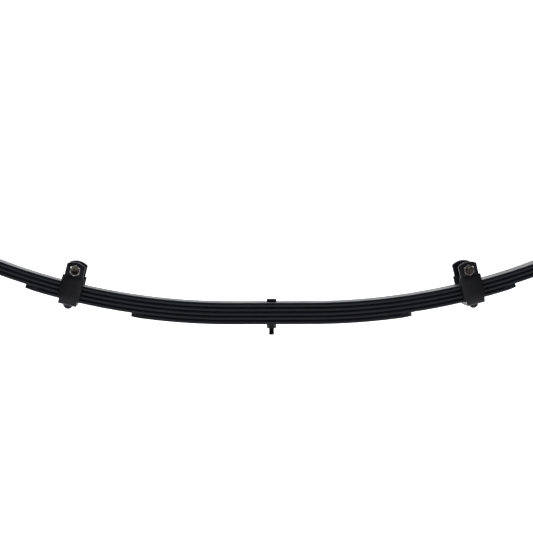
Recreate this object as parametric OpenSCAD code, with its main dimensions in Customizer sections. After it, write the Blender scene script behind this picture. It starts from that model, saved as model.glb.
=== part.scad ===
// Semi-elliptic leaf spring: five curved leaves on a centre bolt, two bolt clips with rubber
// liners, and an upturned eye with a split bushing and a steel sleeve at each end.
// X runs along the spring, front end at -X. Y runs across the leaves. Z is up.
// The origin is on the centre bolt's axis, on the top face of the main leaf.

/* [Leaves] */
// Width of every leaf
leaf_w = 63.5; // [50:0.5:76]
// Thickness of every leaf
leaf_t = 7.4; // [6:0.1:9]
// Half length of the flat seat at the middle
seat_half = 68; // [50:1:90]
// Radius of the main leaf's top face beyond the seat
arc_r = 1132; // [1000:1:1400]
// Length of the main leaf from the centre bolt to the eye, along its top face
main_half = 660; // [600:1:700]
// Half length of the second leaf, along its top face
second_half = 651; // [600:1:690]
// Half length of the third leaf, along its top face
third_half = 552; // [480:1:590]
// Half length of the fourth leaf, along its top face
fourth_half = 427; // [400:1:470]
// Half length of the fifth leaf, along its top face
fifth_half = 242; // [180:1:300]
// Length of the trimmed corner at a leaf's tip
trim_len = 21; // [10:1:30]
// Depth of the trimmed corner, in from the leaf's side
trim_depth = 18; // [8:1:24]

/* [Eyes] */
// Bore radius of the rolled eye
eye_r = 19.05; // [16:0.05:22]
// How far round the leaf is rolled, in degrees
eye_roll = 308; // [270:1:312]
// Radius of the bushing's flange
flange_r = 26; // [23:0.5:28]
// Thickness of the bushing's flange
flange_t = 4; // [2:0.5:6]
// Outer radius of the steel sleeve
sleeve_r = 11.1; // [9:0.1:13]
// Bore radius of the steel sleeve
sleeve_bore_r = 7.15; // [5:0.05:8]

/* [Centre bolt] */
// Radius of the round locating head
head_r = 8.5; // [7:0.5:12]
// Height of the round locating head
head_h = 5.5; // [4:0.5:10]
// Radius of the centre bolt's shank
centre_r = 4.75; // [4:0.05:6]
// Width across flats of the centre nut
centre_nut_af = 14.3; // [13:0.1:18]
// Height of the centre nut
centre_nut_h = 8.5; // [6:0.5:11]
// Length of thread left standing below the centre nut
centre_tail = 11; // [3:1:20]

/* [Clips] */
// Angle round the arc at which the clips stand
clip_angle = 14; // [12:0.5:16]
// Width of the clip's strap
strap_w = 31.75; // [25:0.25:38]
// Thickness of the clip's strap
strap_t = 8; // [5:0.5:9]
// Inner radius of the strap's two bends
bend_r = 3.5; // [3:0.1:3.5]
// Height of the clip bolt's axis above the main leaf
clip_bolt_up = 23.5; // [20:0.5:28]
// Height of the ear's highest point above the main leaf
ear_up = 37.5; // [34:0.1:42]
// Radius of the curve that ends each ear
ear_r = 28; // [20:1:40]
// Radius of the clip bolt's shank
clip_bolt_r = 4.9; // [4:0.1:5]
// Width across flats of the clip bolt's head and nut
clip_hex_af = 17; // [15:0.5:19]
// Height of the clip bolt's head
clip_head_h = 6.4; // [5:0.1:8]
// Height of the clip nut
clip_nut_h = 8.4; // [7:0.1:10]
// Length of thread left standing past the clip nut
clip_tail = 3.3; // [1:0.1:8]
// Outer radius of the tube that keeps the ears apart
spacer_r = 8; // [7:0.5:10]
// Radius of the rivet's shank
rivet_r = 4.25; // [3.5:0.05:5]
// Radius of the rivet's round head
rivet_head_r = 8.75; // [7:0.25:9.5]
// Height of the rivet's round head
rivet_head_h = 8.5; // [5:0.5:9]
// Wall of the rubber liner past the strap's edges
liner_side = 3.1; // [2:0.1:5]
// Wall of the rubber liner on the strap's faces
liner_face = 2.5; // [1.5:0.1:2.5]
// Height of the liner's upper end above the main leaf
liner_up = 13; // [4:0.1:13.5]

/* [Hidden] */
$fn = 96;

FRONT = -1;                 // the -X end of the spring
REAR = 1;                   // the +X end of the spring
NEAR = -1;                  // the -Y side
FAR = 1;                    // the +Y side
PAINT = "#17171b";          // satin black paint
RUBBER = "#101012";         // black rubber
ZINC = "#b4b2aa";           // zinc-plated steel

free_gap = 0.1;             // room left between parts that only touch
run_gap = 0.05;             // radial room left for a part that turns
arc_fn = 720;               // facets round a whole leaf arc, when drawn as a mesh
roll_inset = 0.03;          // the eye's roll lies this far inside the leaf's faces where they merge
roll_t = leaf_t - 2 * roll_inset;
roll_overlap = 0.1;         // the roll starts this many degrees back along the leaf

eye_angle = (main_half - seat_half) / arc_r * 180 / PI;
pack_t = 5 * leaf_t;        // five leaves
clip_pack_t = 4 * leaf_t;   // the clips hold the upper four
leg_in = leaf_w / 2 + liner_face + 6 * free_gap;    // from the middle to a leg's inner face
leg_out = leg_in + strap_t;                         // and to its outer face
strap_top_n = -clip_pack_t - free_gap;              // the strap's inner face under the leaves
strap_low_n = strap_top_n - strap_t;                // and its underside
liner_low_n = strap_top_n + bend_r + 5 * free_gap;  // the liner stands just above the bend
bolt_tail_y = leg_out + clip_nut_h + clip_tail;     // the far end of a clip bolt
rivet_sink_r = 7;                                   // radius of the rivet's sunk end
rivet_sink_h = 3.5;                                 // depth of the rivet's sunk end
flange_in = leaf_w / 2 + free_gap;                  // the flange's inner face
flange_out = flange_in + flange_t;
sleeve_half = flange_out + 5 * free_gap;
bushing_gap = 0.75;                                 // half the gap where two halves meet

// Puts its children at an angle round the main leaf's arc: local X along the leaf and
// outwards, local Z square to the leaf and up, zero on the main leaf's top face.
module at_station(end, angle) {
    mirror([end == FRONT ? 1 : 0, 0, 0])
        translate([seat_half + arc_r * sin(angle), 0, arc_r * (1 - cos(angle))])
            rotate([0, -angle, 0])
                children();
}

// Puts its children at the centre of an eye, turned as at_station turns them.
module at_eye(end) {
    at_station(end, eye_angle) translate([0, 0, eye_r + roll_inset]) children();
}

// A cylinder along Y from y0 to y1.
module rod_y(radius, y0, y1) {
    translate([0, y1, 0]) rotate([90, 0, 0]) cylinder(r = radius, h = y1 - y0);
}

// A ring round the Y axis: radius from r0 to r1, starting straight down and sweeping
// towards +X and up.
module leaf_ring(r0, r1, width, sweep) {
    rotate([90, 0, 0])
        rotate([0, 0, -90])
            rotate_extrude(angle = sweep, $fn = arc_fn)
                translate([r0, -width / 2])
                    square([r1 - r0, width]);
}

// The flat seat and both arcs of the leaf that lies number places below the main leaf.
module leaf_strip(number, sweep) {
    top_r = arc_r + number * leaf_t;
    translate([-seat_half, -leaf_w / 2, -(number + 1) * leaf_t])
        cube([2 * seat_half, leaf_w, leaf_t]);
    for (end = [FRONT, REAR])
        mirror([end == FRONT ? 1 : 0, 0, 0])
            translate([seat_half, 0, arc_r])
                leaf_ring(top_r, top_r + leaf_t, leaf_w, sweep);
}

// The two corners that are sheared off a leaf's tip. Each cut is two flats that meet at a
// knee, and both run on past the leaf.
module tip_trims(number) {
    over = 1;
    knee = [-0.35 * trim_len, -0.45 * trim_depth];
    side_slope = (trim_len + knee[0]) / -knee[1];
    tip_slope = (trim_depth + knee[1]) / -knee[0];
    for (side = [NEAR, FAR])
        translate([0, side * leaf_w / 2, -(number + 1) * leaf_t - over])
            linear_extrude(leaf_t + 2 * over)
                polygon([
                    [-trim_len - over * side_slope, side * over],
                    [knee[0], side * knee[1]],
                    [over, side * (-trim_depth - over * tip_slope)],
                    [over, side * over],
                ]);
}

module centre_hole() {
    translate([0, 0, -pack_t - 1]) cylinder(r = centre_r + 2 * free_gap, h = pack_t + 2);
}

// A plain leaf: an arched strip with trimmed tips and a hole for the centre bolt. Its
// children are cut out of it too.
module plain_leaf(number, half_length) {
    sweep = (half_length - seat_half) / (arc_r + number * leaf_t) * 180 / PI;
    difference() {
        leaf_strip(number, sweep);
        centre_hole();
        for (end = [FRONT, REAR]) at_station(end, sweep) tip_trims(number);
        children();
    }
}

module main_leaf() {
    color(PAINT) {
        difference() {
            leaf_strip(0, eye_angle);
            centre_hole();
        }
        for (end = [FRONT, REAR])
            at_eye(end)
                rotate([0, roll_overlap, 0])
                    leaf_ring(eye_r, eye_r + roll_t, leaf_w - 2 * roll_inset, eye_roll);
    }
}

module second_leaf() {
    color(PAINT) plain_leaf(1, second_half);
}

module third_leaf() {
    color(PAINT) plain_leaf(2, third_half);
}

// The fourth leaf carries the clips, so it has a sunk hole for each clip's rivet.
module fourth_leaf() {
    over = 1;
    hole_r = rivet_r + free_gap;
    sink_slope = (rivet_sink_r - rivet_r) / rivet_sink_h;
    sink_h = rivet_sink_h + 2 * free_gap + over;
    color(PAINT) plain_leaf(3, fourth_half)
        for (end = [FRONT, REAR])
            at_station(end, clip_angle) {
                translate([0, 0, -clip_pack_t - over])
                    cylinder(r = hole_r, h = leaf_t + 2 * over);
                translate([0, 0, -clip_pack_t + leaf_t + over - sink_h])
                    cylinder(r1 = hole_r, r2 = hole_r + sink_h * sink_slope, h = sink_h);
            }
}

module fifth_leaf() {
    color(PAINT) plain_leaf(4, fifth_half);
}

module centre_bolt() {
    chamfer = 0.8;
    tail_z = -pack_t - centre_nut_h - centre_tail;
    color(PAINT) {
        cylinder(r = head_r, h = head_h - chamfer);
        translate([0, 0, head_h - chamfer])
            cylinder(r1 = head_r, r2 = head_r - chamfer, h = chamfer);
        translate([0, 0, tail_z + chamfer])
            cylinder(r = centre_r, h = -tail_z - chamfer);
        translate([0, 0, tail_z])
            cylinder(r1 = centre_r - chamfer, r2 = centre_r, h = chamfer);
    }
}

// A hexagon prism of a given width across flats, standing on z = 0.
module hexagon(across_flats, height) {
    cylinder(r = across_flats / sqrt(3), h = height, $fn = 6);
}

module centre_nut() {
    color(PAINT) difference() {
        translate([0, 0, -pack_t - centre_nut_h]) hexagon(centre_nut_af, centre_nut_h);
        translate([0, 0, -pack_t - centre_nut_h - 1])
            cylinder(r = centre_r + run_gap, h = centre_nut_h + 2);
    }
}

// A quarter bend of the strap, from its underside up to one leg.
module strap_bend(side) {
    mirror([0, side == NEAR ? 1 : 0, 0])
        translate([-strap_w / 2, leg_in - bend_r, strap_top_n + bend_r])
            rotate([90, 0, 90])
                rotate([0, 0, -90])
                    rotate_extrude(angle = 90)
                        translate([bend_r, 0])
                            square([strap_t, strap_w]);
}

// The clip's strap: a flat bar bent into a U under the upper four leaves, with its two ears
// cut to a shallow curve and drilled for the clip bolt.
module clip_strap(end) {
    leg_base = strap_top_n + bend_r;
    color(PAINT) at_station(end, clip_angle) difference() {
        union() {
            translate([-strap_w / 2, -(leg_in - bend_r), strap_low_n])
                cube([strap_w, 2 * (leg_in - bend_r), strap_t]);
            for (side = [NEAR, FAR]) {
                strap_bend(side);
                intersection() {
                    translate([-strap_w / 2, side == NEAR ? -leg_out : leg_in, leg_base])
                        cube([strap_w, strap_t, ear_up - leg_base]);
                    union() {
                        translate([0, 0, ear_up - ear_r]) rod_y(ear_r, -leg_out - 1, leg_out + 1);
                        translate([-strap_w, -leg_out - 1, leg_base - 1])
                            cube([2 * strap_w, 2 * leg_out + 2, ear_up - ear_r - leg_base + 1]);
                    }
                }
            }
        }
        translate([0, 0, clip_bolt_up])
            rod_y(clip_bolt_r + 3 * free_gap, -leg_out - 1, leg_out + 1);
        translate([0, 0, strap_low_n - 1])
            cylinder(r = rivet_r + free_gap, h = strap_t + 2);
    }
}

// The clip bolt runs through both ears. The front one has its head on the near side and the
// rear one on the far side.
module clip_bolt(end, head_side) {
    color(ZINC) at_station(end, clip_angle)
        translate([0, 0, clip_bolt_up])
            mirror([0, head_side == FAR ? 1 : 0, 0]) {
                rod_y(clip_bolt_r, -leg_out - 1, bolt_tail_y);
                translate([0, -leg_out, 0])
                    rotate([90, 0, 0])
                        rotate([0, 0, 30])
                            hexagon(clip_hex_af, clip_head_h);
            }
}

module clip_nut(end, nut_side) {
    color(ZINC) at_station(end, clip_angle)
        translate([0, 0, clip_bolt_up])
            mirror([0, nut_side == FAR ? 1 : 0, 0])
                difference() {
                    translate([0, -leg_out, 0])
                        rotate([90, 0, 0])
                            rotate([0, 0, 30])
                                hexagon(clip_hex_af, clip_nut_h);
                    rod_y(clip_bolt_r + run_gap, -bolt_tail_y - 1, 0);
                }
}

module clip_spacer(end) {
    reach = leg_in - free_gap;
    color(ZINC) at_station(end, clip_angle)
        translate([0, 0, clip_bolt_up])
            difference() {
                rod_y(spacer_r, -reach, reach);
                rod_y(clip_bolt_r + 3 * free_gap, -reach - 1, reach + 1);
            }
}

// The rivet that ties the strap to the fourth leaf: a round head below, a sunk end above.
module clip_rivet(end) {
    ball_r = (rivet_head_r * rivet_head_r + rivet_head_h * rivet_head_h) / (2 * rivet_head_h);
    top_n = -clip_pack_t + leaf_t - 2 * free_gap;
    color(PAINT) at_station(end, clip_angle) {
        intersection() {
            translate([0, 0, strap_low_n - rivet_head_h + ball_r]) sphere(r = ball_r);
            translate([0, 0, strap_low_n - rivet_head_h])
                cylinder(r = rivet_head_r + 1, h = rivet_head_h);
        }
        translate([0, 0, strap_low_n]) cylinder(r = rivet_r, h = top_n - strap_low_n);
        translate([0, 0, top_n - rivet_sink_h])
            cylinder(r1 = rivet_r, r2 = rivet_sink_r, h = rivet_sink_h);
    }
}

// The rubber liner: a flat sleeve that wraps one leg of the strap beside the leaves.
module clip_liner(end, side) {
    length = liner_up - liner_low_n;
    color(RUBBER) at_station(end, clip_angle)
        translate([0, side * (leg_in + strap_t / 2), liner_low_n])
            difference() {
                translate([-strap_w / 2 - liner_side, -strap_t / 2 - liner_face, 0])
                    cube([strap_w + 2 * liner_side, strap_t + 2 * liner_face, length]);
                translate([-strap_w / 2 - free_gap, -strap_t / 2 - free_gap, -1])
                    cube([strap_w + 2 * free_gap, strap_t + 2 * free_gap, length + 2]);
            }
}

// One half of a split eye bushing: a plug inside the eye and a flange outside it.
module eye_bushing(end, side) {
    color(RUBBER) at_eye(end)
        mirror([0, side == NEAR ? 1 : 0, 0])
            difference() {
                union() {
                    rod_y(eye_r - run_gap, bushing_gap, flange_in);
                    rod_y(flange_r, flange_in, flange_out);
                }
                rod_y(sleeve_r + run_gap, 0, flange_out + 1);
            }
}

module eye_sleeve(end) {
    color(ZINC) at_eye(end)
        difference() {
            rod_y(sleeve_r, -sleeve_half, sleeve_half);
            rod_y(sleeve_bore_r, -sleeve_half - 1, sleeve_half + 1);
        }
}

main_leaf();
second_leaf();
third_leaf();
fourth_leaf();
fifth_leaf();
centre_bolt();
centre_nut();
clip_strap(FRONT);  // front_clip_strap
clip_bolt(FRONT, NEAR);  // front_clip_bolt
clip_nut(FRONT, FAR);  // front_clip_nut
clip_spacer(FRONT);  // front_clip_spacer
clip_rivet(FRONT);  // front_clip_rivet
clip_liner(FRONT, NEAR);  // front_clip_liner_near
clip_liner(FRONT, FAR);  // front_clip_liner_far
clip_strap(REAR);  // rear_clip_strap
clip_bolt(REAR, FAR);  // rear_clip_bolt
clip_nut(REAR, NEAR);  // rear_clip_nut
clip_spacer(REAR);  // rear_clip_spacer
clip_rivet(REAR);  // rear_clip_rivet
clip_liner(REAR, NEAR);  // rear_clip_liner_near
clip_liner(REAR, FAR);  // rear_clip_liner_far
eye_bushing(FRONT, NEAR);  // front_eye_bushing_near
eye_bushing(FRONT, FAR);  // front_eye_bushing_far
eye_sleeve(FRONT);  // front_eye_sleeve
eye_bushing(REAR, NEAR);  // rear_eye_bushing_near
eye_bushing(REAR, FAR);  // rear_eye_bushing_far
eye_sleeve(REAR);  // rear_eye_sleeve
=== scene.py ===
# %% [markdown]
# # A leaf spring, built on a fixed frame
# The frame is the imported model: every part's place, size and motion come from it. This
# lesson adds what the frame leaves plain: rolled and sheared leaf edges, bent and eased
# clip straps, chamfered hexagons, real threads, rubber liners, paint, zinc and light.

# %% Load the frame
import math

import bpy
import numpy as np
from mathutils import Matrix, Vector


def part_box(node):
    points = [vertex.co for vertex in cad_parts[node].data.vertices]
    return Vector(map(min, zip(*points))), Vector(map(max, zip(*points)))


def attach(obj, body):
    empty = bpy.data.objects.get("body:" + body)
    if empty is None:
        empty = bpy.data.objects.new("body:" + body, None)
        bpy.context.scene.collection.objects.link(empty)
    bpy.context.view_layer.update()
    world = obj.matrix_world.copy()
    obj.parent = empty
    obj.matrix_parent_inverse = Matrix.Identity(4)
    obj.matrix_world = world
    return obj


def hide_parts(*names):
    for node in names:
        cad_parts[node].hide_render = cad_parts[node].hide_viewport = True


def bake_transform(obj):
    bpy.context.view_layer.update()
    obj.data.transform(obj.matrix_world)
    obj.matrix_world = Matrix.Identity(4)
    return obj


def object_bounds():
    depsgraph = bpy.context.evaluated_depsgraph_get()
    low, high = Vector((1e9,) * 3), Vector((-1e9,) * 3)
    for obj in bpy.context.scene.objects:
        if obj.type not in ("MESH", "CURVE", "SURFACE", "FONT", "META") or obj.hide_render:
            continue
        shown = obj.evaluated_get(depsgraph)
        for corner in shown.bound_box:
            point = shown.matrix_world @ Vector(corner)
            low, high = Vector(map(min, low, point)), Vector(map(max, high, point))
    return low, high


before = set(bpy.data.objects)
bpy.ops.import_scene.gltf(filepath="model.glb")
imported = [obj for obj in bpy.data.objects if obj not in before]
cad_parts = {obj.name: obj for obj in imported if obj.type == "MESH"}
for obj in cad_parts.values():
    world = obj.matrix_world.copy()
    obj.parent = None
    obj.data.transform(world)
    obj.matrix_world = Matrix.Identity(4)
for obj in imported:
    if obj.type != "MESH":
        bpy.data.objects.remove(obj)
frame_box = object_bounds()
print("frame box, metres:", [[round(v, 4) for v in corner] for corner in frame_box])

# %% [markdown]
# ## Camera
# The spring is looked at from the side and almost level, from far enough away that its
# depth hardly shows. A long lens does that. The camera stands a little to the front-end
# side of the middle and turns a little back towards it.

# %% Camera
CAMERA_PLACE = (-0.144, -3.354, 0.189)
CAMERA_YAW = 2.31  # degrees to the right of straight ahead
CAMERA_PITCH = -2.18  # degrees above level
VIEW_ANGLE = 15.62  # degrees across the whole picture

camera_data = bpy.data.cameras.new("camera")
camera_data.sensor_width = 36.0
camera_data.lens = 18.0 / math.tan(math.radians(VIEW_ANGLE / 2))
camera_data.clip_end = 100.0
camera = bpy.data.objects.new("camera", camera_data)
camera.location = CAMERA_PLACE
camera.rotation_euler = (math.radians(90 + CAMERA_PITCH), 0, math.radians(-CAMERA_YAW))
bpy.context.scene.collection.objects.link(camera)
bpy.context.scene.camera = camera
bpy.context.scene.view_settings.view_transform = "Standard"
print("lens, mm:", round(camera_data.lens, 1))

# %% [markdown]
# ## Light table and soft light
# Black paint shows only what it reflects, so the light matters more than the colour. The
# floor is a lit white sheet, which hides hard shadows and lights the leaves' lower edges.
# Its glow is brighter to the camera than to the spring, so that it can look white and
# still throw little light. Broad soft lights stand above and behind, where the top faces
# mirror them. The side the camera stands on stays dim, so that upright faces look black,
# and two small lights there put one glint on each clip's bolt or nut.


# %% Floor
def node_tree(owner):
    """The owner's node tree, emptied."""
    owner.use_nodes = True
    owner.node_tree.nodes.clear()
    return owner.node_tree


def lit_sheet(seen_glow, cast_glow):
    """White diffuse sheet with a glow of its own: seen_glow is how bright it looks to the
    camera, and cast_glow is the dimmer light that it throws on the spring."""
    material = bpy.data.materials.new("floor_white")
    tree = node_tree(material)
    shader = tree.nodes.new("ShaderNodeBsdfPrincipled")
    shader.inputs["Base Color"].default_value = (0.72, 0.73, 0.75, 1)
    shader.inputs["Roughness"].default_value = 0.8
    shader.inputs["Emission Color"].default_value = (1, 1, 1, 1)
    seen = tree.nodes.new("ShaderNodeLightPath")
    glow = tree.nodes.new("ShaderNodeMapRange")
    glow.inputs["To Min"].default_value = cast_glow
    glow.inputs["To Max"].default_value = seen_glow
    tree.links.new(seen.outputs["Is Camera Ray"], glow.inputs["Value"])
    tree.links.new(glow.outputs[0], shader.inputs["Emission Strength"])
    out = tree.nodes.new("ShaderNodeOutputMaterial")
    tree.links.new(shader.outputs[0], out.inputs[0])
    return material


FLOOR_HALF = 30.0
SEEN_GLOW, CAST_GLOW = 1.0, 0.42
FLOOR_DROP = 0.0005  # the floor lies just under the lowest point
floor_z = frame_box[0][2] - FLOOR_DROP
corners = FLOOR_HALF * np.array([[-1, -1, 0], [1, -1, 0], [1, 1, 0], [-1, 1, 0]]) + [0, 0, floor_z]
floor_mesh = bpy.data.meshes.new("floor")
floor_mesh.from_pydata(corners.tolist(), [], [(0, 1, 2, 3)])
floor_mesh.materials.append(lit_sheet(SEEN_GLOW, CAST_GLOW))
floor = bpy.data.objects.new("floor", floor_mesh)
bpy.context.scene.collection.objects.link(floor)
print("floor at z =", round(floor_z, 4))


# %% Lights
def soft_light(name, place, aim, width, height, power):
    """A rectangle of light at place, facing the point aim. It isn't seen directly."""
    light = bpy.data.lights.new(name, "AREA")
    light.shape = "RECTANGLE"
    light.size, light.size_y, light.energy = width, height, power
    lamp = bpy.data.objects.new(name, light)
    lamp.location = place
    away = Vector(place) - Vector(aim)
    lamp.rotation_euler = away.to_track_quat("Z", "Y").to_euler()
    lamp.visible_camera = False
    bpy.context.scene.collection.objects.link(lamp)
    return lamp


soft_light("overhead_light", (0, 0.6, 2.4), (0, 0, 0), 3.0, 2.0, 60)
soft_light("back_light", (0, 3.0, 1.0), (0, 0, 0.1), 6.0, 1.8, 36)
soft_light("front_left_light", (-2.65, -1.8, 2.03), (-0.34, 0, 0.06), 0.6, 0.6, 30)
soft_light("front_right_light", (2.95, -1.5, 1.9), (0.34, 0, 0.06), 0.4, 0.7, 22)

ROOM_COLOUR = (0.06, 0.064, 0.078, 1)  # a dim, slightly blue room
BACKDROP = 1.1  # how bright the camera sees the room's wall
world = bpy.data.worlds.new("studio")
bpy.context.scene.world = world
tree = node_tree(world)
room = tree.nodes.new("ShaderNodeBackground")
room.inputs["Color"].default_value = ROOM_COLOUR
white = tree.nodes.new("ShaderNodeBackground")
white.inputs["Color"].default_value = (1, 1, 1, 1)
white.inputs["Strength"].default_value = BACKDROP
seen = tree.nodes.new("ShaderNodeLightPath")
mix = tree.nodes.new("ShaderNodeMixShader")
out = tree.nodes.new("ShaderNodeOutputWorld")
tree.links.new(seen.outputs["Is Camera Ray"], mix.inputs[0])
tree.links.new(room.outputs[0], mix.inputs[1])
tree.links.new(white.outputs[0], mix.inputs[2])
tree.links.new(mix.outputs[0], out.inputs[0])

# %% [markdown]
# ## Finishes
# Each finish is worked out from position on the part, so it needs no unwrapping. Satin
# paint over rolled steel has a fine orange peel, a slow change of gloss and a few paler
# scuffs. Old zinc plate is a dark metal with brown blooms, and spanners rub the sides and
# corners of a hexagon back to grey; that grey is also painted sheen, standing in for the
# floor's reflection in the chamfers. Rubber is as black as the paint, with a finer grain.


# %% Node helpers
def add_node(tree, kind, **settings):
    """A new node with its settings and its inputs' own values set by name."""
    node = tree.nodes.new(kind)
    for key, value in settings.items():
        if key in node.inputs:
            node.inputs[key].default_value = value
        else:
            setattr(node, key, value)
    return node


def grain(tree, scale, detail=3.0, rough=0.55):
    """Noise on the part's own position, scale in cycles per metre."""
    place = add_node(tree, "ShaderNodeTexCoord")
    noise = add_node(tree, "ShaderNodeTexNoise", Scale=scale, Detail=detail, Roughness=rough)
    tree.links.new(place.outputs["Object"], noise.inputs["Vector"])
    return noise.outputs[0]


def steps(tree, source, stops):
    """Turns a number into a colour through a list of (position, grey or colour) stops."""
    ramp = tree.nodes.new("ShaderNodeValToRGB")
    while len(ramp.color_ramp.elements) < len(stops):
        ramp.color_ramp.elements.new(0.5)
    for element, (place, colour) in zip(ramp.color_ramp.elements, stops):
        element.position = place
        element.color = (*colour, 1) if len(colour) == 3 else (*colour * 3, 1)
    tree.links.new(source, ramp.inputs[0])
    return ramp.outputs[0]


def surface(name, colour_stops, colour_scale, gloss, gloss_scale, bumps, metallic=0.0, specular=0.5):
    """A finish: colour from slow noise, roughness between two values from another noise,
    and bumps as (cycles per metre, height in metres, strength)."""
    material = bpy.data.materials.new(name)
    tree = node_tree(material)
    shader = add_node(tree, "ShaderNodeBsdfPrincipled", Metallic=metallic)
    shader.inputs["Specular IOR Level"].default_value = specular
    colour = steps(tree, grain(tree, colour_scale), colour_stops)
    tree.links.new(colour, shader.inputs["Base Color"])
    low, high = gloss
    rough = steps(tree, grain(tree, gloss_scale, detail=4), [(0.3, (low,)), (0.7, (high,))])
    tree.links.new(rough, shader.inputs["Roughness"])
    normal = None
    for scale, height, strength in bumps:
        bump = add_node(tree, "ShaderNodeBump", Distance=height, Strength=strength)
        tree.links.new(grain(tree, scale, detail=2), bump.inputs["Height"])
        if normal is not None:
            tree.links.new(normal, bump.inputs["Normal"])
        normal = bump.outputs[0]
    tree.links.new(normal, shader.inputs["Normal"])
    out = tree.nodes.new("ShaderNodeOutputMaterial")
    tree.links.new(shader.outputs[0], out.inputs[0])
    return material


# %% Rubbed metal and painted sheen
def lighten_rubbed_and_sheen(material, rubbed_and_sheen_colour, share):
    """Lightens a finish's colour towards a pale grey, by the piece's attribute of rubbed zinc and
    painted sheen times share: the grey stands both for zinc rubbed clean and for a painted
    reflection in the chamfers."""
    tree = material.node_tree
    socket = next(n for n in tree.nodes if n.type == "BSDF_PRINCIPLED").inputs["Base Color"]
    stain = socket.links[0].from_socket
    rub_and_sheen_fac = add_node(tree, "ShaderNodeAttribute", attribute_name="rubbed_and_sheen")
    amount = add_node(tree, "ShaderNodeMath", operation="MULTIPLY")
    amount.inputs[1].default_value = share
    tree.links.new(rub_and_sheen_fac.outputs["Fac"], amount.inputs[0])
    mix = add_node(tree, "ShaderNodeMix", data_type="RGBA")
    tree.links.new(amount.outputs[0], mix.inputs[0])
    tree.links.new(stain, mix.inputs[6])
    mix.inputs[7].default_value = (*rubbed_and_sheen_colour, 1)
    tree.links.new(mix.outputs[2], socket)


# %% The six finishes
leaf_paint = surface(
    "leaf_paint",
    [(0.25, (0.0024, 0.0028, 0.005)), (0.6, (0.004, 0.0045, 0.008)), (0.8, (0.009, 0.0095, 0.0145))],
    70, (0.28, 0.42), 26, [(1400, 0.00006, 0.5), (220, 0.00012, 0.35)], specular=0.26,
)
strap_paint = surface(
    "strap_paint",
    [(0.25, (0.003, 0.003, 0.0052)), (0.6, (0.005, 0.005, 0.0085)), (0.85, (0.012, 0.012, 0.0165))],
    110, (0.3, 0.46), 60, [(1600, 0.00006, 0.5), (300, 0.0001, 0.35)], specular=0.26,
)
bolt_zinc = surface(
    "bolt_zinc", [(0.3, (0.04, 0.032, 0.024)), (0.55, (0.065, 0.058, 0.05)), (0.8, (0.12, 0.116, 0.11))],
    240, (0.18, 0.3), 300, [(2500, 0.00003, 0.4)], metallic=1.0,
)
# The hexagon's flats and chamfers turn pale grey: zinc rubbed clean, and painted sheen standing in for the
# floor's reflection.
lighten_rubbed_and_sheen(bolt_zinc, (0.42, 0.42, 0.40), 0.55)
liner_rubber = surface(
    "liner_rubber", [(0.3, (0.0018, 0.0018, 0.0034)), (0.7, (0.003, 0.003, 0.0055))],
    90, (0.3, 0.42), 120, [(2600, 0.00005, 0.4)], specular=0.23,
)
bushing_rubber = surface(
    "bushing_rubber", [(0.3, (0.012, 0.012, 0.013)), (0.7, (0.022, 0.022, 0.023))],
    120, (0.4, 0.55), 150, [(2200, 0.00005, 0.4)],
)
sleeve_steel = surface(
    "sleeve_steel", [(0.3, (0.42, 0.41, 0.38)), (0.7, (0.6, 0.59, 0.56))],
    260, (0.24, 0.4), 420, [(3000, 0.00002, 0.4)], metallic=1.0,
)
print("finishes:", [m.name for m in bpy.data.materials])

# %% [markdown]
# ## Skins from grids
# Almost every piece here is a closed outline carried along a path: a leaf's section along
# its arc, a bar's section round a bend, a circle along a bolt. All of them are one grid
# of points, rows by columns. Neighbouring points make quads, and the two ends are closed
# with a ladder of quads between opposite points.


# %% Grid to mesh
MM = 0.001  # one millimetre in metres


def signed_volume(points, quads):
    """Six times the volume inside quads: positive when their faces point outwards."""
    a, b, c, d = (points[quads[:, i]] for i in range(4))
    return (np.cross(a, b) * c).sum() + (np.cross(a, c) * d).sum()


def closed_skin(name, grid, finish, looped=False, crease=30, rubbed_and_sheen=None):
    """A mesh from a grid of points in millimetres, shape (rows, columns, 3). Columns
    always join round. Rows join round if looped, and otherwise each end is closed by
    quads between column j and its opposite, counted from the other end. The last argument
    gives each row a number from 0 to 1 that a finish can read: how much its plating is
    lightened, both as zinc rubbed clean and as painted sheen."""
    rows, cols = grid.shape[:2]
    points = grid.reshape(-1, 3) * MM
    row = np.arange(rows if looped else rows - 1)[:, None]
    col = np.arange(cols)[None, :]
    after_row, after_col = (row + 1) % rows, (col + 1) % cols
    quads = [np.stack([row * cols + col, row * cols + after_col,
                       after_row * cols + after_col, after_row * cols + col], -1).reshape(-1, 4)]
    if not looped:
        j = np.arange(cols // 2 - 1)
        rung = np.stack([j, cols - 1 - j, cols - 2 - j, j + 1], -1)
        quads += [rung, (rows - 1) * cols + rung[:, ::-1]]
    quads = np.concatenate(quads)
    if signed_volume(points, quads) < 0:
        quads = quads[:, ::-1]
    mesh = bpy.data.meshes.new(name)
    mesh.from_pydata(points.tolist(), [], quads.tolist())
    mesh.shade_smooth()
    mesh.set_sharp_from_angle(angle=math.radians(crease))
    mesh.materials.append(finish)
    if rubbed_and_sheen is not None:
        layer = mesh.attributes.new("rubbed_and_sheen", "FLOAT", "POINT")
        layer.data.foreach_set("value", np.repeat(np.asarray(rubbed_and_sheen, float), cols))
    piece = bpy.data.objects.new(name, mesh)
    bpy.context.scene.collection.objects.link(piece)
    return piece


# %% [markdown]
# ## The arch
# Every leaf and every fitting is placed by how far it lies along the main leaf's top
# face from the centre bolt, and how far above that face. The middle is flat, and past it
# the leaves follow one circle's centre, so all five share the same lines.

# %% Along and above the arch
SEAT_HALF = 68.0  # half of the flat seat
ARC_R = 1132.0  # radius of the main leaf's top face
LEAF_W = 63.5
LEAF_T = 7.4
CLIP_TURN = math.radians(14)  # how far round the arc the clips stand
ENDS = {"front": -1, "rear": 1}


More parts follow.
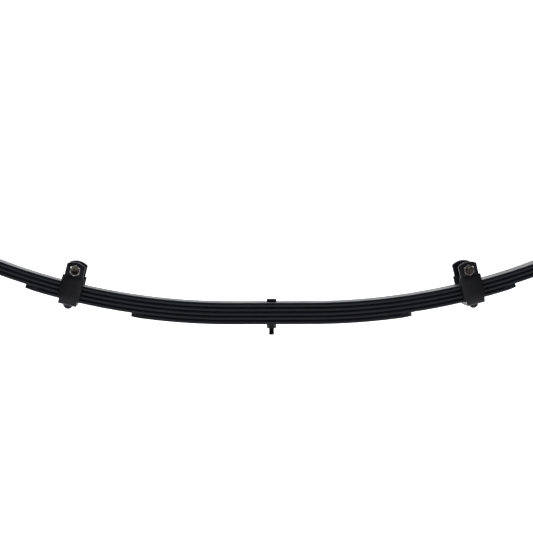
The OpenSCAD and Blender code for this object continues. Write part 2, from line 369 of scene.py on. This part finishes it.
def arch(end, along, above, across=0.0):
    """Points at a distance along the top face (0 at the centre bolt) and above it: flat to
    the seat's edge, then round a circle. end is -1 or 1."""
    along, above, across = np.broadcast_arrays(*(np.asarray(v, float) for v in (along, above, across)))
    turn = np.maximum(along - SEAT_HALF, 0) / ARC_R
    x = np.minimum(along, SEAT_HALF) + (ARC_R - above) * np.sin(turn)
    z = ARC_R - (ARC_R - above) * np.cos(turn)
    return np.stack([end * x, across, z], -1)


def station(end, turn, x, y, z):
    """Points given in a frame that stands on the arc: x outwards along the leaf, y across
    and z square to it."""
    x, y, z = np.broadcast_arrays(*(np.asarray(v, float) for v in (x, y, z)))
    world_x = SEAT_HALF + (ARC_R - z) * math.sin(turn) + x * math.cos(turn)
    world_z = ARC_R - (ARC_R - z) * math.cos(turn) + x * math.sin(turn)
    return np.stack([end * world_x, y, world_z], -1)


def tip_along(node, number):
    """How far along the top face a leaf's tip is, from the frame's own box."""
    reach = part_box(node)[1][0] / MM - SEAT_HALF
    return SEAT_HALF + ARC_R * math.asin(reach / (ARC_R + (number + 1) * LEAF_T))


CLIP_ALONG = SEAT_HALF + ARC_R * CLIP_TURN
LEAVES = ["main_leaf", "second_leaf", "third_leaf", "fourth_leaf", "fifth_leaf"]
tips = {leaf: tip_along(leaf, i) for i, leaf in enumerate(LEAVES) if i}
print("clips at", round(CLIP_ALONG, 1), "tips at", {k: round(v, 1) for k, v in tips.items()})

# %% [markdown]
# ## A flat bar's section
# Spring leaves and clip straps are both rolled flat bar. The bar's edges aren't square:
# a leaf's edge bulges, and every corner is a little eased. One outline serves both. It is
# kept as weights, so that a row can be made narrower where a corner is sheared off.


# %% Bar outline
LEAF_EASE = 0.4  # how much a leaf's corners are rounded
LEAF_FLATS = 4  # points across each broad face
END_EASE = 0.5  # how much a leaf's sheared end is rounded


def bar_outline(thick, ease, flats, edge_points=3, corner_points=5):
    """Half of a bar's outline, from the middle of its right edge over the top to the middle
    of its left edge, then the same below, upside down. Gives weight, height and inset:
    a point lies at weight * (half width at its height - inset), height."""
    half = thick / 2
    edge = (half - ease) * (np.arange(edge_points) + 0.4) / edge_points
    corner = np.linspace(0, np.pi / 2, corner_points)
    rise = np.concatenate([edge, half - ease + ease * np.sin(corner)])
    tuck = np.concatenate([0 * edge, ease * (1 - np.cos(corner))])
    flat = np.linspace(1, -1, flats + 2)[1:-1]
    weight = np.concatenate([np.ones_like(rise), flat, -np.ones_like(rise)])
    height = np.concatenate([rise, half + 0 * flat, rise[::-1]])
    inset = np.concatenate([tuck, ease + 0 * flat, tuck[::-1]])
    return (np.concatenate([weight, weight[::-1]]),
            np.concatenate([height, -height[::-1]]),
            np.concatenate([inset, inset[::-1]]))


def eased_end(ease, count=4):
    """Rows that round over an end: (how far short of the end, how much smaller)."""
    turn = np.linspace(0, np.pi / 2, count)
    return ease * (1 - np.sin(turn)), ease * (1 - np.cos(turn))


print("points round a leaf:", len(bar_outline(LEAF_T, LEAF_EASE, LEAF_FLATS)[0]))

# %% [markdown]
# ## Leaves
# A leaf is a rolled bar with bulging edges, bent to the arch, and its tip is sheared at
# both corners. Each cut is two flats, which catch the light differently from the rolled
# edge. The leaves bend as the spring moves, and a piece can bend over one hinge only, so
# every leaf is made in halves, and parted again under the clips, where no seam shows.

# %% Leaf numbers
EDGE_BULGE = 1.5  # how far the middle of a rolled edge stands out
TRIM_LEN, TRIM_DEPTH = 21.0, 18.0  # what a tip's corner loses, along and across the leaf
KNEE_LEN, KNEE_DEPTH = 0.35 * TRIM_LEN, 0.45 * TRIM_DEPTH  # where the cut's two flats meet
ROW_STEP = 7.0  # between rows, where a leaf is plain
ROLL_ROWS = 60  # rows round an eye
EYE_R = 19.05  # the eye's bore
ROLL_INSET = 0.03  # the roll is this much thinner than the leaf at each face
EYE_ROLL = math.radians(308)  # how far the leaf's end is rolled round the bore
MAIN_HALF = 660.0  # from the centre bolt to the eye, along the top face
EYE_TURN = (MAIN_HALF - SEAT_HALF) / ARC_R
print("eyes stand round the arc by", round(math.degrees(EYE_TURN), 1), "degrees")


# %% Leaf surface
def cut_half_width(short):
    """Half width left by the sheared flats at a distance short of the tip; far from the
    tip the cut plane has run out past the bar."""
    slope = KNEE_DEPTH / (TRIM_LEN - KNEE_LEN)
    return LEAF_W / 2 + np.interp(
        short, [0, KNEE_LEN, TRIM_LEN, 3 * TRIM_LEN],
        [-TRIM_DEPTH, -KNEE_DEPTH, 0, 2 * TRIM_LEN * slope])


def leaf_rows(first, last, tip):
    """Row places along a leaf, closer together where the tip is trimmed, and how much each
    row is drawn in to ease the end."""
    if tip is None:
        along = np.linspace(first, last, int((last - first) / ROW_STEP) + 2)
        return along, 0 * along
    plain = np.linspace(first, tip - TRIM_LEN - 1, int((tip - first) / ROW_STEP) + 2)
    start = np.arange(tip - TRIM_LEN, tip - TRIM_LEN + 3.5, 0.5)
    trimmed = np.linspace(start[-1] + 1, tip - KNEE_LEN, 7)
    end = np.linspace(tip - KNEE_LEN + 1, tip - 1, 6)
    short, drawn = eased_end(END_EASE)
    along = np.concatenate([plain, start, trimmed, end, tip - short])
    return along, np.concatenate([np.zeros(len(along) - len(drawn)), drawn])


def leaf_grid(end, number, first, last, tip=None):
    """A leaf's surface: the bar's outline at each row. The half width at a height is the
    smaller of the rolled edge (widest at the middle, less the bulge times the square of
    the height) and the sheared flat."""
    weight, height, inset = bar_outline(LEAF_T, LEAF_EASE, LEAF_FLATS)
    along, drawn = leaf_rows(first, last, tip)
    rolled = LEAF_W / 2 - EDGE_BULGE * (height / (LEAF_T / 2)) ** 2
    short = np.full(len(along), 3 * TRIM_LEN) if tip is None else tip - along
    half = np.minimum(rolled[None, :], cut_half_width(short)[:, None])
    across = weight * (half - inset - drawn[:, None])
    above = -(number + 0.5) * LEAF_T + height * (1 - drawn[:, None] / (LEAF_T / 2))
    return arch(end, along[:, None], above, across)


def eye_grid(end):
    """The rolled eye: the same outline carried round a circle, from the leaf's end up and
    back, its inner face on the bore."""
    weight, height, inset = bar_outline(LEAF_T - 2 * ROLL_INSET, LEAF_EASE, LEAF_FLATS)
    short, drawn = eased_end(END_EASE)
    roll = np.linspace(0, EYE_ROLL, ROLL_ROWS + 2)[1:-1]
    roll = np.concatenate([roll, EYE_ROLL - short / (EYE_R + LEAF_T / 2)])
    drawn = np.concatenate([np.zeros(ROLL_ROWS), drawn])[:, None]
    half = LEAF_W / 2 - EDGE_BULGE * (height / (LEAF_T / 2)) ** 2
    radius = EYE_R + LEAF_T / 2 - ROLL_INSET - height * (1 - drawn / (LEAF_T / 2))
    across = weight * (half - inset - drawn)
    return station(end, EYE_TURN, radius * np.sin(roll)[:, None], across,
                   EYE_R + ROLL_INSET - radius * np.cos(roll)[:, None])


def leaf_piece(leaf, end_name, part, grid):
    """One piece of a leaf, standing for the frame's leaf."""
    piece = closed_skin(f"{leaf}_{end_name}_{part}", grid, leaf_paint, crease=21)
    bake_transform(piece)
    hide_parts(leaf)
    return piece


# %% Make the leaves
for end_name, end in ENDS.items():
    for number, leaf in enumerate(LEAVES):
        if leaf == "fifth_leaf":
            leaf_piece(leaf, end_name, "root", leaf_grid(end, number, 0, tips[leaf], tip=tips[leaf]))
            continue
        leaf_piece(leaf, end_name, "root", leaf_grid(end, number, 0, CLIP_ALONG))
        if leaf == "main_leaf":
            strip = leaf_grid(end, number, CLIP_ALONG, MAIN_HALF)
            outer = np.concatenate([strip, eye_grid(end)])
        else:
            outer = leaf_grid(end, number, CLIP_ALONG, tips[leaf], tip=tips[leaf])
        leaf_piece(leaf, end_name, "tip", outer)

# %% [markdown]
# ## Turned and headed pieces
# Bolts, nuts, rivets, tubes and bushings are all turned shapes: a radius at each height.
# A hexagon is the same with the radius held to its flats, and because the chamfer is a
# cone, it cuts the flats in the curved lines that real nuts show. A thread adds a ridge
# that climbs one pitch in each turn.

# %% Turning
COLUMNS = 72  # a multiple of 12, so that a hexagon's corners fall on points


def turned(profile, hexagon=None, corner=0.0, thread=None):
    """Radius and height over (rows, angle). profile is rows of (radius, height, hexed).
    A hexed row's radius is at most half the width across flats over the cosine of the
    angle from the nearest flat's middle. thread is (low, high, pitch, depth): between
    those heights the radius dips by depth between crests that climb a pitch a turn."""
    profile = np.array(profile, float)
    angle = 2 * np.pi * np.arange(COLUMNS) / COLUMNS
    radius = np.repeat(profile[:, :1], COLUMNS, 1)
    height = np.repeat(profile[:, 1:2], COLUMNS, 1)
    if hexagon:
        off = (angle - corner) % (np.pi / 3) - np.pi / 6
        flat = hexagon / 2 / np.cos(off)
        radius = np.where(profile[:, 2:3] > 0, np.minimum(radius, flat), radius)
    if thread:
        low, high, pitch, depth = thread
        turn = (height / pitch - angle / (2 * np.pi)) % 1
        fade = np.clip(np.minimum(height - low, high - height) / pitch, 0, 1)
        radius = radius - depth * np.abs(2 * turn - 1) ** 1.3 * fade
    return radius, height, angle


def chamfered(face_r, full_r, face_height, into):
    """Hexed rows down a 30 degree chamfer from a face, towards into (1 up or -1 down)."""
    radii = np.linspace(face_r, full_r, 6)
    return [(r, face_height + into * (r - face_r) * math.tan(math.radians(30)), 1) for r in radii]


# %% [markdown]
# ## Centre bolt and nut
# The centre bolt holds the leaves together, and its round head drops into the axle's pad,
# so the head is plain and neatly rounded. The tail stands out below its nut, threaded and
# pointed. Both were dipped in the same black paint as the leaves.

# %% Centre bolt
PACK_T = 5 * LEAF_T
HEAD_R, HEAD_H = 8.5, 5.5
CENTRE_R = 4.75
NUT_AF, NUT_H = 14.3, 8.5
TAIL_Z = -PACK_T - NUT_H - 11.0
THREAD_DEPTH = 0.6  # of the pitch
CENTRE_PITCH = 1.6

bend = np.linspace(0, np.pi / 2, 6)
crown = [(0.3, HEAD_H, 0), (4.0, HEAD_H - 0.05, 0)]
crown += [(HEAD_R - 1.2 + 1.2 * math.sin(b), HEAD_H - 1.3 + 1.2 * math.cos(b), 0) for b in bend]
neck = [(HEAD_R, 0.3, 0), (HEAD_R - 0.3, 0, 0), (CENTRE_R, 0, 0), (CENTRE_R, -PACK_T + 2, 0)]
screw = [(CENTRE_R, z, 0) for z in np.arange(-PACK_T + 1.8, TAIL_Z + 1.2, -0.2)]
point = [(CENTRE_R - d, TAIL_Z + 1.2 - d, 0) for d in (0.3, 0.6, 0.9, 1.2)] + [(0.3, TAIL_Z, 0)]
radius, height, angle = turned(crown + neck + screw + point,
                               thread=(TAIL_Z, -PACK_T + 2, CENTRE_PITCH, THREAD_DEPTH * CENTRE_PITCH))
grid = np.stack([radius * np.cos(angle), radius * np.sin(angle), height], -1)
piece = closed_skin("centre_bolt_turned", grid, strap_paint)
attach(piece, "seat")
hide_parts("centre_bolt")
print("centre bolt reaches", round(TAIL_Z, 1), "mm")


# %% Centre nut
def nut_profile(across_flats, height, bore_r):
    """A nut's rows, from the bore's low end up through it, out over the top face, down the
    flats and back: chamfered inside and out at both faces."""
    corner_r = across_flats / math.sqrt(3)
    face_r = across_flats / 2 - 0.25
    bore = [(bore_r + 0.7, 0, 0), (bore_r, 0.7, 0), (bore_r, height - 0.7, 0), (bore_r + 0.7, height, 0)]
    return bore + chamfered(face_r, corner_r, height, -1) + chamfered(face_r, corner_r, 0, 1)[::-1]


radius, height, angle = turned(nut_profile(NUT_AF, NUT_H, CENTRE_R + 0.05), hexagon=NUT_AF)
grid = np.stack([radius * np.cos(angle), radius * np.sin(angle), height - PACK_T - NUT_H], -1)
piece = closed_skin("centre_nut_hexed", grid, strap_paint, looped=True)
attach(piece, "seat")
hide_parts("centre_nut")

# %% [markdown]
# ## Clips
# A clip is a flat strap bent into a U under four leaves and riveted to the lowest. It
# keeps the leaves in line when the spring rebounds. Its ears end in a shallow curve, and
# a bolt through a spacer tube ties them. The bends are carried round as real bends, so
# the strap keeps its thickness all the way.

# %% Strap numbers
STRAP_W, STRAP_T, BEND_R = 31.75, 8.0, 3.5
STRAP_EASE = 1.4
STRAP_FLATS = 9
STRAP_GAP = 0.1  # left between the strap and the lowest leaf it holds
LINER_SIDE, LINER_FACE = 3.1, 2.5  # rubber past the strap's edges and on its broad faces
LINER_GAP = 0.6  # left between the rubber and the leaves
CLIP_PACK = 4 * LEAF_T
LEG_IN = LEAF_W / 2 + LINER_FACE + LINER_GAP
LEG_OUT = LEG_IN + STRAP_T
LEG_BASE = -CLIP_PACK - STRAP_GAP + BEND_R
EAR_UP, EAR_R = 37.5, 28.0  # the ear's height above the main leaf, and its top's circle
BOLT_UP = 23.5  # the clip bolt's height above the main leaf


# %% Strap surface
def strap_grid(end):
    """The strap's outline carried down one leg, round a quarter bend, along the bottom and
    up again. A leg's rows share out the height from the bend to the ear's curved top,
    which is a circle's, so the top row follows the curve."""
    weight, thick, inset = bar_outline(STRAP_T, STRAP_EASE, STRAP_FLATS)
    half = STRAP_W / 2
    short, drawn = eased_end(STRAP_EASE)
    rise = np.linspace(1, 0, 9)[1:]
    leg_drop = np.concatenate([short[::-1], [STRAP_EASE] * len(rise)])
    leg_rise = np.concatenate([np.ones(len(short)), rise])
    leg_drawn = np.concatenate([drawn[::-1], np.zeros(len(rise))])

    def leg(side):
        x = weight * (half - inset - leg_drawn[:, None])
        y = side * (LEG_IN + STRAP_T / 2) - side * thick * (1 - leg_drawn[:, None] / (STRAP_T / 2))
        top = EAR_UP - EAR_R + np.sqrt(EAR_R ** 2 - x ** 2)
        z = LEG_BASE + leg_rise[:, None] * (top - LEG_BASE - leg_drop[:, None])
        return np.stack(np.broadcast_arrays(x, y, z), -1)

    def quarter(side, turns):
        n_y, n_z = -np.sin(turns)[:, None], np.cos(turns)[:, None]
        radius = BEND_R + STRAP_T / 2 - thick
        y = side * (LEG_IN - BEND_R) - radius * n_y
        z = LEG_BASE - radius * n_z
        x = weight * (half - inset) + 0 * y
        return np.stack([x, y, z], -1)

    turns = np.linspace(-np.pi / 2, 0, 9)[1:]
    floor_y = np.linspace(-(LEG_IN - BEND_R), LEG_IN - BEND_R, 8)[1:, None]
    bottom = np.stack(np.broadcast_arrays(
        weight * (half - inset), floor_y, LEG_BASE - BEND_R - STRAP_T / 2 + thick), -1)
    local = np.concatenate([leg(-1), quarter(-1, turns), bottom,
                            quarter(1, -turns[::-1])[1:], leg(1)[::-1]])
    return station(end, CLIP_TURN, local[..., 0], local[..., 1], local[..., 2])


# %% [markdown]
# ## Clip liners
# A rubber sleeve is pushed over each leg, so that the strap can't ring against the leaves.
# Moulded rubber has no flat faces: its outside is a soft oval round the strap, its inside
# fits the strap, and both rims are rounded.

# %% Liner surface
LINER_LOW, LINER_HIGH = LEG_BASE + 0.5, 13.0
LINER_RIM = 1.0
LINER_OVAL, LINER_BORE = 2.3, 12.0  # powers of the oval outside and the nearly square inside
LINER_COLUMNS = 64
FIT_GAP = 0.1


def oval(half_x, half_y, power, count):
    """A closed curve between an ellipse (power 2) and a rectangle (high power):
    |x / half_x| ** power + |y / half_y| ** power = 1."""
    angle = 2 * np.pi * (np.arange(count) + 0.5) / count
    c, s = np.cos(angle), np.sin(angle)
    return (half_x * np.sign(c) * np.abs(c) ** (2 / power),
            half_y * np.sign(s) * np.abs(s) ** (2 / power))


def liner_grid(end, side):
    """Rows go up the outside, over the top rim, down the inside and under. Each row lies
    between the inner and the outer curve."""
    half_w, half_t = STRAP_W / 2, STRAP_T / 2
    out_x, out_y = oval(half_w + LINER_SIDE, half_t + LINER_FACE, LINER_OVAL, LINER_COLUMNS)
    in_x, in_y = oval(half_w + FIT_GAP, half_t + FIT_GAP, LINER_BORE, LINER_COLUMNS)
    sweep = np.linspace(0, np.pi, 9)[1:-1]
    top, low = LINER_HIGH - LINER_RIM, LINER_LOW + LINER_RIM
    wall = np.linspace(low, top, 6)
    share = np.concatenate([1 + 0 * wall, 0.5 + 0.5 * np.cos(sweep),
                            0 * wall, 0.5 - 0.5 * np.cos(sweep)])
    z = np.concatenate([wall, top + LINER_RIM * np.sin(sweep),
                        wall[::-1], low - LINER_RIM * np.sin(sweep)])
    share, z = share[:, None], z[:, None]
    x = in_x + share * (out_x - in_x)
    y = side * (LEG_IN + STRAP_T / 2) + in_y + share * (out_y - in_y)
    return station(end, CLIP_TURN, x, y, z)


# %% [markdown]
# ## Clip hardware
# The bolt is a zinc-plated hexagon-head bolt. Its head is cold-formed, so it has a
# shallow dish inside a raised ring, and the plate shows warm stains in the dish. A nut
# closes the far side, with two threads standing past it. A round-headed rivet ties the
# strap to the lowest leaf it holds.

# %% Bolt, nut, tube and rivet
BOLT_R, HEX_AF, BOLT_HEAD_H, BOLT_NUT_H = 4.9, 17.0, 6.4, 8.4
BOLT_TAIL = LEG_OUT + BOLT_NUT_H + 3.3
BOLT_PITCH = 1.5
NUT_RUB_AND_SHEEN = 0.4  # how much a nut's hexagon is lightened, as rubbed zinc and painted sheen, when a bolt's head is 1
UP_CORNER = math.pi / 2
RIVET_R, RIVET_HEAD_R, RIVET_HEAD_H = 4.25, 8.75, 8.5


def cross_rod(end, side, radius, height, angle):
    """Places a turned piece on the clip bolt's axis, its height measured outwards across
    the spring on one side."""
    return station(end, CLIP_TURN, radius * np.cos(angle), side * height, BOLT_UP + radius * np.sin(angle))


def bolt_profile():
    """The clip bolt's rows, from its dished head through the shank to the pointed end.
    Heights run outwards on the head's side, so the end is the most negative."""
    top = LEG_OUT + BOLT_HEAD_H
    dish = [(0.3, top - 0.9, 0), (2.5, top - 0.9, 0), (4.6, top - 0.65, 0), (5.6, top - 0.25, 0),
            (6.1, top - 0.05, 0), (6.6, top, 0)]
    flats = chamfered(HEX_AF / 2 - 0.4, HEX_AF / math.sqrt(3), top, -1)
    foot = [(HEX_AF, LEG_OUT + 0.5, 1), (HEX_AF / 2 - 0.2, LEG_OUT, 1), (BOLT_R, LEG_OUT, 0)]
    screw = [(BOLT_R, z, 0) for z in np.arange(-LEG_OUT + 3, -BOLT_TAIL + 1.0, -0.19)]
    point = [(BOLT_R - d, -BOLT_TAIL + 1.0 - d, 0) for d in (0.25, 0.5, 0.75, 1.0)]
    return dish + flats + foot + screw + point + [(0.3, -BOLT_TAIL, 0)]


def tube_profile(outer_r, bore_r, half, ease):
    """A tube's rows, up the bore and down the outside, with both ends chamfered."""
    return [(bore_r + ease, -half, 0), (bore_r, ease - half, 0), (bore_r, half - ease, 0),
            (bore_r + ease, half, 0), (outer_r - ease, half, 0), (outer_r, half - ease, 0),
            (outer_r, ease - half, 0), (outer_r - ease, -half, 0)]


def rivet_profile():
    """The rivet's rows: the sunk end, the shank and a dome that is part of a ball."""
    sunk, low = -CLIP_PACK + LEAF_T - 0.2, -CLIP_PACK - STRAP_GAP - STRAP_T
    ball = (RIVET_HEAD_R ** 2 + RIVET_HEAD_H ** 2) / (2 * RIVET_HEAD_H)
    centre = low - RIVET_HEAD_H + ball
    lean = np.linspace(math.asin(min(RIVET_HEAD_R / ball, 1)), 0.05, 12)
    dome = [(ball * math.sin(a), centre - ball * math.cos(a), 0) for a in lean]
    return [(0.3, sunk, 0), (7.0, sunk, 0), (RIVET_R, sunk - 3.5, 0), (RIVET_R, low, 0),
            (RIVET_HEAD_R - 0.2, low, 0)] + dome


# %% Make the clips
BOLT_THREAD = (-BOLT_TAIL, -LEG_OUT + 3, BOLT_PITCH, THREAD_DEPTH * BOLT_PITCH)
SPACER_R = 8.0
bolt_rows = bolt_profile()
nut_rows = [(r, h + LEG_OUT, hexed) for r, h, hexed in nut_profile(HEX_AF, BOLT_NUT_H, BOLT_R + 0.05)]
spacer_rows = tube_profile(SPACER_R, BOLT_R + 0.3, LEG_IN - 0.1, 0.5)

for end_name, end in ENDS.items():
    head_side = end  # the front bolt's head is on the near side, the rear one's on the far side
    bolt = cross_rod(end, head_side, *turned(bolt_rows, HEX_AF, UP_CORNER, BOLT_THREAD))
    nut = cross_rod(end, -head_side, *turned(nut_rows, HEX_AF, UP_CORNER))
    spacer = cross_rod(end, 1, *turned(spacer_rows))
    radius, height, angle = turned(rivet_profile())
    rivet = station(end, CLIP_TURN, radius * np.cos(angle), radius * np.sin(angle), height)
    # Bolt and nut rows carry how much the hexagon is lightened: rubbed zinc and painted sheen.
    made = {
        "strap": closed_skin(f"{end_name}_strap_bent", strap_grid(end), strap_paint),
        "bolt": closed_skin(f"{end_name}_bolt_headed", bolt, bolt_zinc,
                            rubbed_and_sheen=[hexed for _, _, hexed in bolt_rows]),
        "nut": closed_skin(f"{end_name}_nut_hexed", nut, bolt_zinc, looped=True,
                           rubbed_and_sheen=[NUT_RUB_AND_SHEEN * hexed for _, _, hexed in nut_rows]),
        "spacer": closed_skin(f"{end_name}_spacer_tube", spacer, bolt_zinc, looped=True),
        "rivet": closed_skin(f"{end_name}_rivet_domed", rivet, strap_paint),
    }
    for side_name, side in (("near", -1), ("far", 1)):
        made["liner_" + side_name] = closed_skin(
            f"{end_name}_liner_{side_name}_moulded", liner_grid(end, side), liner_rubber, looped=True)
    for part, piece in made.items():
        node = f"{end_name}_clip_{part}"
        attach(piece, end_name + "_clip")
        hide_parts(node)
    print(end_name, "clip:", sorted(made))

# %% [markdown]
# ## Eye bushings and sleeves
# Each eye holds two moulded rubber halves, pushed in from both sides, with a flange that
# keeps the eye off its hanger. A plated steel sleeve runs through them for the bolt to
# clamp. The flange's rim is rounded and its face is slightly hollow, as moulded ones are.

# %% Bushing and sleeve
FLANGE_R, FLANGE_T, SLEEVE_R, SLEEVE_BORE = 26.0, 4.0, 11.1, 7.15
FLANGE_IN = LEAF_W / 2 + 0.1
FLANGE_OUT = FLANGE_IN + FLANGE_T
SLEEVE_HALF = FLANGE_OUT + 0.5


def eye_rod(end, side, radius, height, angle):
    """Places a turned piece on an eye's axis."""
    above = EYE_R + ROLL_INSET + radius * np.sin(angle)
    return station(end, EYE_TURN, radius * np.cos(angle), side * height, above)


def bushing_profile():
    """One bushing half: up the bore, out over the flange's hollow face, round its rim, back
    to the plug and down it."""
    rim = np.linspace(0, np.pi, 9)
    rim_r = FLANGE_T / 2
    flange = [(FLANGE_R - rim_r + rim_r * math.sin(a), FLANGE_IN + rim_r + rim_r * math.cos(a), 0)
              for a in rim]
    face = [(SLEEVE_R + 1.2, FLANGE_OUT, 0), (16.0, FLANGE_OUT - 0.5, 0), (20.0, FLANGE_OUT - 0.5, 0)]
    plug = [(EYE_R - 0.05, FLANGE_IN, 0), (EYE_R - 0.05, 2.0, 0), (EYE_R - 1.3, 0.75, 0)]
    return [(SLEEVE_R + 0.05, 0.75, 0), (SLEEVE_R + 0.05, FLANGE_OUT - 1.0, 0)] + face + flange + plug


for end_name, end in ENDS.items():
    for side_name, side in (("near", -1), ("far", 1)):
        node = f"{end_name}_eye_bushing_{side_name}"
        piece = closed_skin(node + "_moulded", eye_rod(end, side, *turned(bushing_profile())),
                            bushing_rubber, looped=True)
        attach(piece, end_name + "_eye")
        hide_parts(node)
    piece = closed_skin(f"{end_name}_sleeve_turned", eye_rod(end, 1, *turned(
        tube_profile(SLEEVE_R, SLEEVE_BORE, SLEEVE_HALF, 0.7))), sleeve_steel, looped=True)
    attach(piece, end_name + "_sleeve")
    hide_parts(f"{end_name}_eye_sleeve")
